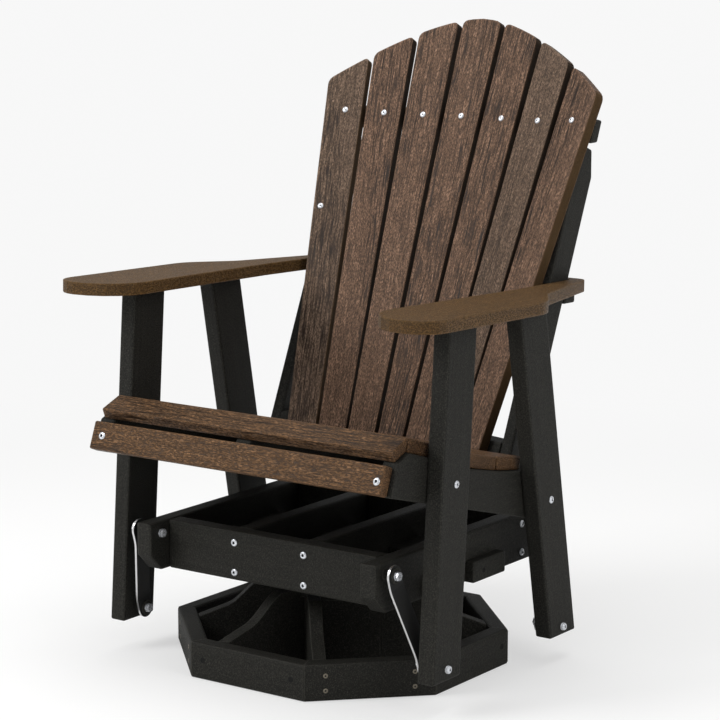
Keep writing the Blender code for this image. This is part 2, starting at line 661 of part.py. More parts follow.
def seat_points():
    """The seat rails' top edge: one corner under each joint between slats."""
    pitch = SEAT_SLAT_WIDTH + SEAT_SLAT_GAP
    points = [Vector(SEAT_START)]
    for fall in SEAT_PITCH:
        points.append(points[-1] + pitch * Vector((cos(radians(fall)), -sin(radians(fall)))))
    return points


def rail_bottom(y):
    """Height of the seat side rails' lower edge."""
    return SEAT_RAIL_BOTTOM[1] - (y - SEAT_RAIL_BOTTOM[0]) * tan(radians(SEAT_RAIL_FALL))


def rail_front():
    """Top and bottom corner of the seat rails' front end, and the way up along it."""
    nose = Vector((-cos(radians(NOSE_FALL)), -sin(radians(NOSE_FALL))))
    corner = Vector(SEAT_START) + RAIL_NOSE_LENGTH * nose
    up = Vector((sin(radians(APRON_LEAN)), cos(radians(APRON_LEAN))))
    fall = tan(radians(SEAT_RAIL_FALL))
    drop = (corner.y - rail_bottom(corner.x)) / (up.y + up.x * fall)
    return corner, corner - up * drop, up


def seat_rail_outline(rear, lift=0.0):
    """Side outline of a seat rail, as far as a given place to the rear."""
    corner, foot, up = rail_front()
    points = seat_points()
    last = points[-1]
    fall = tan(radians(REAR_SLAT_PITCH))
    chain = [tuple(p) for p in points if p.x < rear] + [(rear, last.y - (rear - last.x) * fall)]
    foot = foot + up * (lift / (up.y + up.x * tan(radians(SEAT_RAIL_FALL))))
    return [tuple(foot), tuple(corner)] + chain + [(rear, rail_bottom(rear) + lift)]


def strip(width, thick, length, radius):
    """A seat board: along X, its width along Y from zero, standing on Z zero."""
    bm = block((length, width, thick))
    bmesh.ops.translate(bm, verts=bm.verts, vec=(0.0, width / 2, thick / 2))
    soften(bm, sharp_edges(bm), radius)
    return bm


def make_seat(chair, black, brown):
    """Side rails with a scooped top edge, the boards on them and the rails between them."""
    for side, hand in ((1, "right"), (-1, "left")):
        span = sorted((side * SEAT_RAIL_INNER, side * (LEG_INNER - TOUCH)))
        bm = prism(seat_rail_outline(SEAT_RAIL_END), span[0], span[1], "X")
        soften(bm, sharp_edges(bm), SEAT_FRAME_ROUND)
        finish("seat_rail_" + hand, bm, chair, black)
    points = seat_points()
    for number, fall in enumerate(SEAT_PITCH):
        turn = Matrix.Rotation(radians(-fall), 4, "X")
        lift = turn @ Vector((0.0, SEAT_SLAT_GAP / 2, TOUCH))
        place = Vector((0.0, *points[number])) + lift
        bm = strip(SEAT_SLAT_WIDTH, SEAT_SLAT_THICK, 2 * SEAT_HALF, BOARD_ROUND)
        finish(f"seat_slat_{number + 1}", bm, chair, brown, place, turn)
    make_rear_slat(chair, brown, points[-1])
    make_nose(chair, brown)
    corner, foot, up = rail_front()
    lean = Matrix.Rotation(radians(-APRON_LEAN), 4, "X")
    bm = block((2 * SEAT_HALF, BOARD, APRON_HEIGHT))
    soften(bm, sharp_edges(bm), BOARD_ROUND)
    forward = Vector((0.0, -cos(radians(APRON_LEAN)), sin(radians(APRON_LEAN))))
    place = Vector((0.0, *foot)) + Vector((0.0, *up)) * (APRON_HEIGHT / 2) + forward * (BOARD / 2 + TOUCH)
    finish("seat_apron", bm, chair, brown, place, lean)
    make_cross_rail(chair, black)
    stop = cross_rail_front(CROSS_RAIL_TOP - CROSS_RAIL_WIDTH) - TOUCH
    bm = prism(seat_rail_outline(stop, CENTRE_RAIL_RISE), -LUMBER / 2, LUMBER / 2, "X")
    soften(bm, sharp_edges(bm), SEAT_FRAME_ROUND)
    finish("seat_centre_rail", bm, chair, black)


def make_rear_slat(chair, brown, start):
    """The last seat board, its rear edge cut to the curve of the back."""
    turn = Matrix.Rotation(radians(-REAR_SLAT_PITCH), 4, "X")
    place = Vector((0.0, *start)) + turn @ Vector((0.0, 0.0, TOUCH))
    low = SEAT_SLAT_GAP / 2
    height = place.z
    step_out = slat_edge(3, 1, height) + BOARD
    curve = []
    for k in range(SLAT_TOP_STEPS * 3 + 1):
        x = step_out * (1 - 2 * k / (SLAT_TOP_STEPS * 3))
        reach = back_face(x, height) - REAR_SLAT_CLEAR - place.y
        curve.append((x, reach / cos(radians(REAR_SLAT_PITCH))))
    rear = min(low + REAR_SLAT_SIDE, curve[0][1])
    outline = [(-SEAT_HALF, low), (SEAT_HALF, low), (SEAT_HALF, rear)]
    outline += [(x, max(y, rear)) for x, y in curve] + [(-SEAT_HALF, rear)]
    bm = prism(outline, 0.0, SEAT_SLAT_THICK, "Z")
    bmesh.ops.remove_doubles(bm, verts=bm.verts, dist=TOUCH)
    soften(bm, sharp_edges(bm), BOARD_ROUND)
    finish("seat_slat_rear", bm, chair, brown, place, turn)


def make_nose(chair, brown):
    """The front board, tipped forward, its rear edge cut parallel to the first slat."""
    fall = radians(NOSE_FALL)
    pitch = radians(SEAT_PITCH[0])
    front_dir = Vector((-cos(fall), -sin(fall)))
    up = Vector((-sin(fall), cos(fall)))
    slat_rear = Vector((cos(pitch), -sin(pitch)))
    gap = NOSE_GAP - SEAT_SLAT_GAP / 2
    base = Vector(SEAT_START) + up * TOUCH
    plane = Vector(SEAT_START) - slat_rear * gap
    low_front = base + front_dir * NOSE_WIDTH
    outline = [tuple(low_front)]
    for height in (0.0, NOSE_THICK):
        start = base + up * height
        back = (start - plane).dot(slat_rear) / front_dir.dot(slat_rear)
        outline.append(tuple(start - front_dir * back))
    outline.append(tuple(low_front + up * NOSE_THICK))
    bm = prism(outline, -SEAT_HALF, SEAT_HALF, "X")
    soften(bm, sharp_edges(bm), BOARD_ROUND)
    finish("seat_nose_slat", bm, chair, brown)


def cross_rail_front(z):
    """Front face of the rear cross rail at a height."""
    return upright_front(z) - (LUMBER + TOUCH) / cos(radians(UPRIGHT_LEAN))


def make_cross_rail(chair, black):
    """The rail between the seat rails that the uprights stand against."""
    lean = Matrix.Rotation(radians(-UPRIGHT_LEAN), 4, "X")
    bm = block((2 * (SEAT_RAIL_INNER - TOUCH), LUMBER, CROSS_RAIL_WIDTH))
    soften(bm, sharp_edges(bm), LUMBER_ROUND)
    down = lean @ Vector((0.0, -(LUMBER / 2 + TOUCH), -CROSS_RAIL_WIDTH / 2))
    place = Vector((0.0, upright_front(CROSS_RAIL_TOP), CROSS_RAIL_TOP)) + down
    finish("rear_cross_rail", bm, chair, black, place, lean)


# Back

def upright_front(z):
    """Front edge of the uprights at a height."""
    return UPRIGHT_FRONT[0] + (z - UPRIGHT_FRONT[1]) * tan(radians(UPRIGHT_LEAN))


def upright_back(z):
    """Rear edge of the uprights at a height."""
    return upright_front(z) + UPRIGHT_DEPTH / cos(radians(UPRIGHT_LEAN))


def back_face(x, z):
    """y of the back slats' front faces: leaning, and hollow from side to side."""
    return BACK_START + LEAN_SHARE * z - CROWN * (x / slat_edge(3, 1, z)) ** 2


def slat_edge(index, outer, z):
    """x of a slat's edge at a height. Index 0 is the middle slat."""
    foot = FOOT_SHARES[index][outer]
    return LEG_INNER * (foot + (TOP_SHARES[index][outer] - foot) * z / BACK_TOP)


def arch(x):
    """Height of the back's top at a distance from its middle."""
    return BACK_TOP - ARCH_DROP * (abs(x) / (ARCH_HALF_SHARE * LEG_INNER)) ** ARCH_POWER_SHARE


def slat_top(index, outer):
    """Height at which a slat's edge meets the arch."""
    z = BACK_TOP
    for _ in range(SOLVE_STEPS):
        z = arch(slat_edge(index, outer, z))
    return z


def slat_frame(index):
    """Origin at the foot of a slat's front face, and its across, rear and up directions."""
    ends = []
    for z in (SLAT_FOOT, BRACE_MIDDLE):
        x = (slat_edge(index, 0, z) + slat_edge(index, 1, z)) / 2
        edges = [back_face(slat_edge(index, k, z), z) for k in (0, 1)]
        ends.append(Vector((x, sum(edges) / 2, z)))
    up = (ends[1] - ends[0]).normalized()
    middle = (SLAT_FOOT + BRACE_MIDDLE) / 2
    edge = [slat_edge(index, k, middle) for k in (0, 1)]
    chord = Vector((edge[1] - edge[0], back_face(edge[1], middle) - back_face(edge[0], middle), 0.0))
    across = (chord - up * chord.dot(up)).normalized()
    return ends[0], across, up.cross(across), up


def mirror_x(v):
    """A vector's mirror image on the other side of the chair."""
    return Vector((-v.x, v.y, v.z))


def slat_rear_y(index, x, z):
    """y of the rear face of a slat's plane at a place across and a height."""
    origin, across, rear, up = slat_frame(index)
    point = origin + rear * BOARD
    return point.y + ((point.x - x) * rear.x + (point.z - z) * rear.z) / rear.y


def make_back_slat(name, index, side, chair, looks):
    """One tapered slat of the fan, its top cut to the arch of the back."""
    origin, across, rear, up = slat_frame(index)
    if side < 0:
        origin = mirror_x(origin)
        across = -mirror_x(across)
        rear = mirror_x(rear)
        up = mirror_x(up)
    ends = []
    for outer in (0, 1):
        for z in (SLAT_FOOT, slat_top(index, outer)):
            x = slat_edge(index, outer, z) * side
            skew = across.z / across.x
            reach = (z - origin.z - (x - origin.x) * skew) / (up.z - up.x * skew)
            ends.append(((x - origin.x - up.x * reach) / across.x, reach))
    inner_foot, inner_top, outer_foot, outer_top = ends
    crown = []
    for k in range(1, SLAT_TOP_STEPS):
        t = k / SLAT_TOP_STEPS
        a = outer_top[0] + (inner_top[0] - outer_top[0]) * t
        guess = outer_top[1] + (inner_top[1] - outer_top[1]) * t
        for _ in range(SOLVE_STEPS):
            world = origin + across * a + up * guess
            guess += (arch(world.x) - world.z) / up.z
        crown.append((a, guess))
    corners = [inner_foot, outer_foot, outer_top, *crown, inner_top]
    bm = prism(corners, 0.0, BOARD, "Y")
    bm.edges.ensure_lookup_table()
    tips = [e for e in bm.edges if abs(e.verts[0].co.y - e.verts[1].co.y) > BOARD / 2
            and min(abs(e.verts[0].co.x - p[0]) + abs(e.verts[0].co.z - p[1])
                    for p in (inner_top, outer_top)) < TOUCH]
    soften(bm, tips, SLAT_CORNER, SLAT_CORNER_STEPS)
    soften(bm, sharp_edges(bm), BOARD_ROUND)
    turn = Matrix((across, rear, up)).transposed()
    finish(name, bm, chair, looks, origin, turn)


def make_brace(name, middle, height, half, clip, chair, looks):
    """A curved rail behind the slats, cut flat for each of them."""
    xs = [(slat_edge(i, 1, middle) + slat_edge(i + 1, 0, middle)) / 2 for i in range(3)] + [half]
    lean = atan2(LEAN_SHARE, 1.0)
    up = Vector((0.0, sin(lean), cos(lean)))
    thick = LUMBER / cos(lean)
    seat = SLAT_SEAT / cos(lean)
    right = []
    for i, x in enumerate(xs):
        faces = []
        slats = [k for k in (i, i + 1) if k < len(FOOT_SHARES)]
        for z in (middle - height / 2, middle + height / 2):
            faces += [slat_rear_y(k, x, z) - LEAN_SHARE * (z - middle) for k in slats]
        right.append((x, max(faces) + seat))
    end_x, end_y = right[-1]
    tip = [(end_x, end_y + thick)]
    if clip:
        tip = [(end_x, end_y + thick - clip), (end_x - clip, end_y + thick)]
    rear = tip + [(x, y + thick) for x, y in reversed(right[:-1])]
    mirrored_rear = [(-x, y) for x, y in reversed(rear)]
    outline = [(-x, y) for x, y in reversed(right)] + right + rear + mirrored_rear
    bm = bmesh.new()
    face = bm.faces.new([bm.verts.new(Vector((x, y, middle)) - up * (height / 2)) for x, y in outline])
    grown = bmesh.ops.extrude_face_region(bm, geom=[face])
    moved = [v for v in grown["geom"] if isinstance(v, bmesh.types.BMVert)]
    bmesh.ops.translate(bm, verts=moved, vec=up * height)
    bmesh.ops.recalc_face_normals(bm, faces=bm.faces)
    soften(bm, sharp_edges(bm), LUMBER_ROUND)
    finish(name, bm, chair, looks)


def make_back(chair, black, brown):
    """Seven fanned slats, the two rails behind them, two uprights and the arm rail."""
    finish_order = [(3, -1), (2, -1), (1, -1), (0, 1), (1, 1), (2, 1), (3, 1)]
    for number, (index, side) in enumerate(finish_order):
        make_back_slat(f"back_slat_{number + 1}", index, side, chair, brown)
    brace_half = slat_edge(3, 1, BRACE_MIDDLE) + BRACE_END
    make_brace("back_brace", BRACE_MIDDLE, BRACE_HEIGHT, brace_half, BRACE_CLIP, chair, black)
    make_brace("lower_back_rail", LOWER_RAIL_MIDDLE, LOWER_RAIL_HEIGHT, UPRIGHT_INNER - TOUCH, 0.0,
               chair, black)
    lean = atan2(LEAN_SHARE, 1.0)
    up = Vector((sin(lean), cos(lean)))
    rear_way = Vector((cos(lean), -sin(lean)))
    outer_x = UPRIGHT_INNER + UPRIGHT_THICK
    face = Vector((slat_rear_y(3, UPRIGHT_INNER, BRACE_MIDDLE), BRACE_MIDDLE))
    face -= up * (BRACE_HEIGHT / 2 + UPRIGHT_TOP_GAP)
    tan_up = tan(radians(UPRIGHT_LEAN))
    rise = (face.x - upright_front(face.y)) / (tan_up * rear_way.y - rear_way.x)
    front_top = face + rear_way * rise
    clip = front_top + rear_way * (UPRIGHT_TOP_DEPTH / rear_way.x)
    back_low = UPRIGHT_FRONT[1] + (clip.x - upright_back(UPRIGHT_FRONT[1])) / tan_up
    low = UPRIGHT_BOTTOM
    outline = [(upright_front(low), low), (upright_back(low), low),
               (clip.x, back_low), tuple(clip), tuple(front_top)]
    for side, hand in ((1, "right"), (-1, "left")):
        span = sorted((side * UPRIGHT_INNER, side * outer_x))
        bm = prism(outline, span[0], span[1], "X")
        soften(bm, sharp_edges(bm), LUMBER_ROUND)
        finish("back_upright_" + hand, bm, chair, black)
    front = upright_back(arm_under(ARM_REAR)) + TOUCH
    fall = Matrix.Rotation(radians(-ARM_FALL), 4, "X")
    bm = block((2 * (outer_x - ARM_RAIL_SHORT), ARM_RAIL_DEPTH, ARM_RAIL_THICK))
    soften(bm, sharp_edges(bm), LUMBER_ROUND)
    middle_y = front + ARM_RAIL_DEPTH / 2
    place = (0.0, middle_y, arm_under(middle_y) - TOUCH - ARM_RAIL_THICK / 2)
    finish("arm_cross_rail", bm, chair, black, place, fall)


def main():
    """Build every body and its pieces."""
    for old in list(bpy.data.objects):
        bpy.data.objects.remove(old, do_unlink=True)
    black = material("black_lumber", (0.022, 0.022, 0.023), 0.62, 0.0)
    brown = material("brown_lumber", (0.105, 0.062, 0.044), 0.55, 0.0)
    zinc = material("zinc_plate", (0.55, 0.56, 0.58), 0.35, 1.0)
    strap = material("black_strap", (0.03, 0.03, 0.032), 0.4, 0.6)

    root = body("root", (0.0, 0.0, 0.0))
    make_rim(root, black)
    make_ribs(root, black)
    make_hub(root, black)
    platform = body("platform_pivot", (0.0, 0.0, 0.0), root)
    make_swivel(root, platform, zinc)
    make_platform(platform, black)
    chair = None
    for end_sign, end, foot in ((-1, "front", FOOT_FRONT), (1, "rear", FOOT_REAR)):
        for side, hand in ((1, "right"), (-1, "left")):
            pivot = body(f"link_{end}_{hand}_pivot", (0.0, end_sign * PIVOT_Y, PIVOT_Z), platform)
            play = BOLT_PLAY if end == "front" else OPEN_PLAY
            make_link(f"glide_link_{end}_{hand}", pivot, side, end_sign, foot, play, strap)
            if chair is None:
                chair = body("chair_pivot", (0.0, *FOOT_FRONT), pivot)
    for end, foot, lean, bottom in (("front", FOOT_FRONT, FRONT_LEG_LEAN, FRONT_LEG_BOTTOM),
                                    ("rear", FOOT_REAR, REAR_LEG_LEAN, REAR_LEG_BOTTOM)):
        for side, hand in ((1, "right"), (-1, "left")):
            make_leg(f"leg_{end}_{hand}", chair, side, foot, lean, bottom, black)
    for side, hand in ((1, "right"), (-1, "left")):
        make_arm("arm_" + hand, chair, side, brown)
    make_seat(chair, black, brown)
    make_back(chair, black, brown)


main()
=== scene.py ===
# %% [markdown]
# # A porch chair that glides and turns
#
# The chair is built of plastic lumber in two colours. Brown boards with an embossed grain make the seat,
# the arms and the fan of the back, and charcoal boards carry them. The chair hangs on four steel straps
# over a platform, and the platform turns on an eight-sided base. The solids come ready-made from the
# imported model, so this lesson dresses them: it gives every board its finish and adds the small screws,
# and dark discs that paint the shade in holes, which the solids leave out.

# %% Load the imported model
import math

import bmesh
import bpy
from mathutils import Matrix, Vector
from mathutils.bvhtree import BVHTree


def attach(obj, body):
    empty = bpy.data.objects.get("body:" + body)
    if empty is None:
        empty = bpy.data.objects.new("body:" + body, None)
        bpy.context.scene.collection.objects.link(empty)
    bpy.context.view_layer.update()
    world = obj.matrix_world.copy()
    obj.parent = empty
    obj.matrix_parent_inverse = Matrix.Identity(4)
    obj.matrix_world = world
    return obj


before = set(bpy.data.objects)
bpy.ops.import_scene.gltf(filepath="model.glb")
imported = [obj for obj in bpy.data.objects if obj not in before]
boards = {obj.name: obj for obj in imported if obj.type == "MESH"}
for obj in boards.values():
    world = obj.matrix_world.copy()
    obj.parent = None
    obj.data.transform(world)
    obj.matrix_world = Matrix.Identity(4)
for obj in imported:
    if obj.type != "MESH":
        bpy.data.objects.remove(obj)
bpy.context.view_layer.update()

# %% [markdown]
# ## The camera
#
# The picture was taken from the chair's front right, from a little above its back, with a long
# lens, so that parallel boards stay almost parallel. A long lens far away gives that flat look. A
# short lens close by would splay the legs.

# %% Camera
SENSOR_WIDTH = 36.0
FOCAL_LENGTH = 128.79
CAMERA_PLACE = (2.6273, -3.6188, 1.3506)
LOOKS_DOWN = 10.34   # degrees below level
LOOKS_LEFT = 35.53   # degrees to the left of straight back

camera = bpy.data.objects.new("camera", bpy.data.cameras.new("camera"))
camera.data.sensor_width = SENSOR_WIDTH
camera.data.lens = FOCAL_LENGTH
camera.location = CAMERA_PLACE
camera.rotation_euler = (math.radians(90.0 - LOOKS_DOWN), 0.0, math.radians(LOOKS_LEFT))
bpy.context.scene.collection.objects.link(camera)
bpy.context.scene.camera = camera
print("camera", round(camera.location.length, 2), "m from the middle of the base")

# %% [markdown]
# ## Writing shader sums
#
# A shader is a net of nodes, and sums made of Math nodes are hard to read. The small class here
# wraps a node's output. Adding or multiplying two of them adds the Math node, so that a mask can
# be written as `1 - streak * 0.5`. Colours don't go through it, because a Math node turns them grey.

# %% Sums of sockets
class Reading:
    """A node's output, written in sums as if it were a number."""

    def __init__(self, net, socket):
        self.net = net
        self.socket = socket

    def sum_node(self, operation, first, second=0.0):
        """A Math node on one or two terms, each a number or a reading."""
        return self.net.node("Math", {"operation": operation}, {0: first, 1: second})

    def __add__(self, other):
        return self.sum_node("ADD", self, other)

    def __sub__(self, other):
        return self.sum_node("SUBTRACT", self, other)

    def __rsub__(self, other):
        return self.sum_node("SUBTRACT", other, self)

    def __mul__(self, other):
        return self.sum_node("MULTIPLY", self, other)

    def __gt__(self, other):
        return self.sum_node("GREATER_THAN", self, other)

    def __lt__(self, other):
        return self.sum_node("LESS_THAN", self, other)

    def __abs__(self):
        return self.sum_node("ABSOLUTE", self)

    def sine(self):
        """The sine of it."""
        return self.sum_node("SINE", self)

    def at_least(self, other):
        """The larger of the two."""
        return self.sum_node("MAXIMUM", self, other)

    __radd__ = __add__
    __rmul__ = __mul__


print("sums of sockets: + - * > <, abs, sine and at_least")

# %% [markdown]
# ## One way to add a node
#
# Every node goes through one method: its settings first, because they decide which sockets it has,
# then the values or links of its sockets. The method works on a material's net of nodes and on the
# world's. It could be written out for each node, but then the nodes would hide the sums.

# %% A net of nodes
class Net:
    """A tree of shader nodes, and the method that adds to it."""

    def __init__(self, tree):
        self.tree = tree

    def node(self, kind, settings=(), inputs=(), output=0):
        """Add a node of a kind, and return one of its outputs."""
        made = self.tree.nodes.new("ShaderNode" + kind)
        for name, value in dict(settings).items():
            setattr(made, name, value)
        for name, value in dict(inputs).items():
            self.feed(made.inputs[name], value)
        return Reading(self, made.outputs[output])

    def feed(self, socket, value):
        """Give a socket a value or a link."""
        if isinstance(value, Reading):
            self.tree.links.new(value.socket, socket)
        else:
            socket.default_value = value


print("a net has one method for its nodes")

# %% [markdown]
# ## A finish
#
# Each finish of the chair is a material with one Principled shader, which covers plastic, paint and
# metal alike. Most sockets go by their names. A Mix node repeats its names for every kind of data,
# so its share, its two colours and the mixed one go by number.

# %% A finish and its tones
MIX_SHARE, MIX_LOW, MIX_HIGH, MIXED = 0, 6, 7, 2


class Finish(Net):
    """A material with a Principled shader."""

    def __init__(self, name, roughness, gloss=0.5):
        self.made = bpy.data.materials.new(name)
        self.made.use_nodes = True
        super().__init__(self.made.node_tree)
        self.shader = self.tree.nodes["Principled BSDF"]
        self.drive("Roughness", roughness)
        self.drive("Specular IOR Level", gloss)

    def drive(self, name, value):
        """Give one of the shader's own sockets a value or a link."""
        self.feed(self.shader.inputs[name], value)

    def tint(self, share, low, high):
        """A colour between two, by a share."""
        low, high = [tone if isinstance(tone, Reading) else (*tone, 1.0) for tone in (low, high)]
        return self.node("Mix", {"data_type": "RGBA"},
                         {MIX_SHARE: share, MIX_LOW: low, MIX_HIGH: high}, MIXED)


print("a finish is a net with a shader to drive and tones to mix")

# %% [markdown]
# ## Ramps, noises and the sideways part
#
# Plastic has few hard-edged spots, so its masks are ramps: nothing below one value, everything
# above another, and a smooth rise between. A colour ramp could do it, but a Map Range node takes
# the two values as plain numbers. The patterns start as noises, whose scale is given per metre,
# because the model is in metres. Some masks only ask how far to either side something is.

# %% Ramps, noises and the sideways part
def smooth_share(value, low, high):
    """0 below low and 1 above high, with a ramp between them."""
    return value.net.node("MapRange", {"interpolation_type": "SMOOTHSTEP"}, {
        "Value": value, "From Min": low, "From Max": high})


def noise(finish, place, per_metre, detail=2.0, roughness=0.5, output=0):
    """A noise of so many grains per metre, finer still with more detail and roughness."""
    return finish.node("TexNoise", (), {
        "Vector": place, "Scale": per_metre, "Detail": detail, "Roughness": roughness}, output)


def sideways(finish, vector):
    """How far a vector reaches to the right or left, without a sign."""
    return abs(finish.node("SeparateXYZ", (), {"Vector": vector}))


print("ramps, noises and sideways parts are ready")

# %% [markdown]
# ## Which way a board's grain runs
#
# The grain follows each board's length, and the boards lie in many directions. Object coordinates
# are the same for every board here, because each solid's place is in its mesh. A Mapping node of
# the Texture kind turns them back, so that Z always runs along the board. Shrinking Z then draws
# a noise out into streaks. Each brown board also starts at its own place in the noise, or
# neighbours would show the same streaks.

# %% Turning a pattern along a board
def turned(*steps):
    """Rotation matrix of turns in degrees about X, Y or Z, the last one first."""
    made = Matrix.Identity(3)
    for axis, angle in steps:
        made = made @ Matrix.Rotation(math.radians(angle), 3, axis)
    return made


def along_board(finish, heading, start=(0.0, 0.0, 0.0)):
    """Object coordinates turned back by a board's heading, so that Z runs along the board."""
    place = finish.node("TexCoord", output="Object")
    return finish.node("Mapping", {"vector_type": "TEXTURE"}, {
        "Vector": place, "Location": start, "Rotation": heading.to_euler()})


def drawn_out(finish, place, stretch):
    """Coordinates that make a noise longer along Z: the smaller the stretch, the longer."""
    return finish.node("VectorMath", {"operation": "MULTIPLY"}, {0: place, 1: (1.0, 1.0, stretch)})


print("a board along X has Z turned to", tuple(round(share) for share in turned(("Y", 90.0)).col[2]))

# %% Directions of the brown boards
BACK_LEAN = 22.03    # degrees from upright
FAN = (-6.9, -4.84, -2.2, 0.0, 2.2, 4.84, 6.9)   # degrees that each back slat is spread
ARM_FALL = 1.85      # degrees that the arms fall to the rear
SEAT_FALLS = {"seat_slat_1": 17.5, "seat_slat_2": 19.0, "seat_slat_3": 13.0, "seat_slat_rear": 9.5,
              "seat_nose_slat": -21.0}   # degrees that each board of the seat falls to the rear
APRON_LEAN = 21.2

headings = {}
for number, fan in enumerate(FAN):
    headings[f"back_slat_{number + 1}"] = turned(("X", -BACK_LEAN), ("Y", fan))
for hand in ("right", "left"):
    headings["arm_" + hand] = turned(("X", -ARM_FALL), ("X", 90.0))
for name, fall in SEAT_FALLS.items():
    headings[name] = turned(("X", -fall), ("Y", 90.0), ("Z", 90.0))
headings["seat_apron"] = turned(("X", -APRON_LEAN), ("Y", 90.0))
print(len(headings), "brown boards with a grain direction")

# %% [markdown]
# ## Rounded edges and a painted highlight on them
#
# Boards leave the die with rounded edges, which catch a thin line of light. The solids round an edge in
# one or two flat steps. More facets would weigh the model down, so a Bevel node turns the shading across
# the edge instead. How far it turns the surface is also the mask for a painted highlight, a paler tone
# and a smoother surface along each edge: it turns nothing on a board's faces.

# %% Edges and relief
EDGE_ROUND = 0.0045            # metres
EDGE_HIGHLIGHT = 0.5                     # how much of the painted highlight's tone an edge takes
TURN_LOW, TURN_HIGH = 0.01, 0.16
MASK_SAMPLES, RELIEF_SAMPLES = 6, 4


def edge_highlight_share(finish, radius):
    """The painted highlight's share: the set share on a board's edges and 0 on its faces."""
    rounded = finish.node("Bevel", {"samples": MASK_SAMPLES}, {"Radius": radius})
    facing = finish.node("NewGeometry", output="Normal")
    kept = finish.node("VectorMath", {"operation": "DOT_PRODUCT"}, {0: rounded, 1: facing}, "Value")
    return smooth_share(1.0 - kept, TURN_LOW, TURN_HIGH) * EDGE_HIGHLIGHT


def relief(finish, height, depth, radius):
    """Shade a height as relief, of a depth in metres, and the edges as rounded by a radius."""
    rounded = finish.node("Bevel", {"samples": RELIEF_SAMPLES}, {"Radius": radius})
    finish.drive("Normal", finish.node("Bump", (), {
        "Height": height, "Strength": 1.0, "Distance": depth, "Normal": rounded}))


print("edges look rounded by", EDGE_ROUND * 1000.0, "mm")

# %% [markdown]
# ## Brown lumber
#
# The boards are extruded plastic, embossed with a wood grain while they are warm. The raised
# streaks catch the light and look paler than the hollows, and all of it is finely stippled. A
# noise that is drawn out along the board makes the streaks, bent by a slow noise so that they
# waver. The flame shapes of sawn wood are the level lines of a second, slower noise: its sine
# rises and falls several times across the board. A picture of wood would be quicker, but it
# repeats and has one size. All of it feeds the colour and the relief, because on the real board
# they are one thing.

# %% Embossed grain
STREAKS_PER_METRE, STREAK_STRETCH = 400.0, 0.050
STREAK_RISE = (0.38, 0.60)        # noise values of the streaks' hollows and tops
WAVES_PER_METRE = 9.0
WAVER = (0.010, 0.010, 0.0)       # metres that the streaks swing to the side
FLAMES_PER_METRE, FLAME_STRETCH = 14.0, 0.10
FLAME_LINES, FLAME_DEPTH = 60.0, 0.18
FLAME_FROM = 0.5                  # value of the sine at which a flame line starts
CALM_STRENGTH = 0.55              # the streaks' strength where the grain is calm
CALM_TO_LIVELY = (0.42, 0.58)
SPECK_RISE, SPECK_FLOOR = (0.42, 0.62), 0.22
SPECK_ROUGHNESS = 0.7


def embossed(finish, along, look):
    """The height of the grain, from 0 in a hollow to 1 on a streak, and its fine stipple."""
    waves = noise(finish, along, WAVES_PER_METRE, 1.0, output="Color")
    bent = finish.node("VectorMath", {"operation": "MULTIPLY_ADD"}, {0: waves, 1: WAVER, 2: along})
    streaks = noise(finish, drawn_out(finish, bent, STREAK_STRETCH), STREAKS_PER_METRE)
    level = noise(finish, drawn_out(finish, bent, FLAME_STRETCH), FLAMES_PER_METRE, 0.0)
    specks = noise(finish, drawn_out(finish, bent, look["stretch"]), look["specks"],
                   roughness=SPECK_ROUGHNESS)
    lively = smooth_share(level, *CALM_TO_LIVELY)
    strength = look["streaky"] * (CALM_STRENGTH + (1.0 - CALM_STRENGTH) * lively)
    flames = smooth_share((level * FLAME_LINES).sine(), FLAME_FROM, 1.0)
    raised = 1.0 - (1.0 - smooth_share(streaks, *STREAK_RISE)) * strength - flames * FLAME_DEPTH
    stippled = SPECK_FLOOR + (1.0 - SPECK_FLOOR) * smooth_share(specks, *SPECK_RISE)
    return stippled * raised, specks


print("streaks about", round(1000.0 / STREAKS_PER_METRE, 1), "mm wide and",
      round(1000.0 / STREAKS_PER_METRE / STREAK_STRETCH), "mm long")

# %% [markdown]
# The slats' narrow sides were never embossed, and their tone is a painted shade: dark between the slats
# of the back, and a plain warm brown on the two outer slats. The direction that the surface faces tells
# them from the embossed face, which a mask painted by hand could do only for one slat at a time.

# %% Brown finish
BOARD_STEP = (0.37, 0.21)         # metres between the boards' places in the noise
SIDE_FACING = (0.6, 0.85)         # how far sideways a surface faces, from embossed to plain
SIDE_ROUGHNESS = 0.95
HIGHLIGHT_GAIN = 1.5                   # how much paler than the raised grain the painted highlight on an edge is
SPECK_SHINE, HIGHLIGHT_SHINE = 0.25, 0.25
GRAIN_DEPTH = 0.0016              # metres


def brown_lumber(name, heading, number, look, side_shade):
    """Embossed brown plastic with its grain along a heading, and a painted shade on its narrow sides if
    given.
    """
    roughness = look["roughness"]
    finish = Finish(name, roughness, look["gloss"])
    start = (BOARD_STEP[0] * number, BOARD_STEP[1] * number, 0.0)
    height, specks = embossed(finish, along_board(finish, heading, start), look)
    colour = finish.tint(height, look["dark"], look["pale"])
    # The narrow sides take a painted shade and a rougher surface.
    if side_shade:
        facing = finish.node("TexCoord", output="Normal")
        side = smooth_share(sideways(finish, facing), *SIDE_FACING)
        colour = finish.tint(side, colour, side_shade)
        roughness = roughness + side * (SIDE_ROUGHNESS - roughness)
    # Painted highlight along every edge: a paler tone and a smoother surface.
    highlight = edge_highlight_share(finish, look["rounding"])
    highlight_tone = tuple(min(1.0, tone * HIGHLIGHT_GAIN) for tone in look["pale"])
    finish.drive("Base Color", finish.tint(highlight, colour, highlight_tone))
    finish.drive("Roughness", roughness + (0.5 - specks) * SPECK_SHINE - highlight * HIGHLIGHT_SHINE)
    relief(finish, height, GRAIN_DEPTH, look["rounding"])
    return finish.made


print("the grain is", GRAIN_DEPTH * 1000.0, "mm deep")
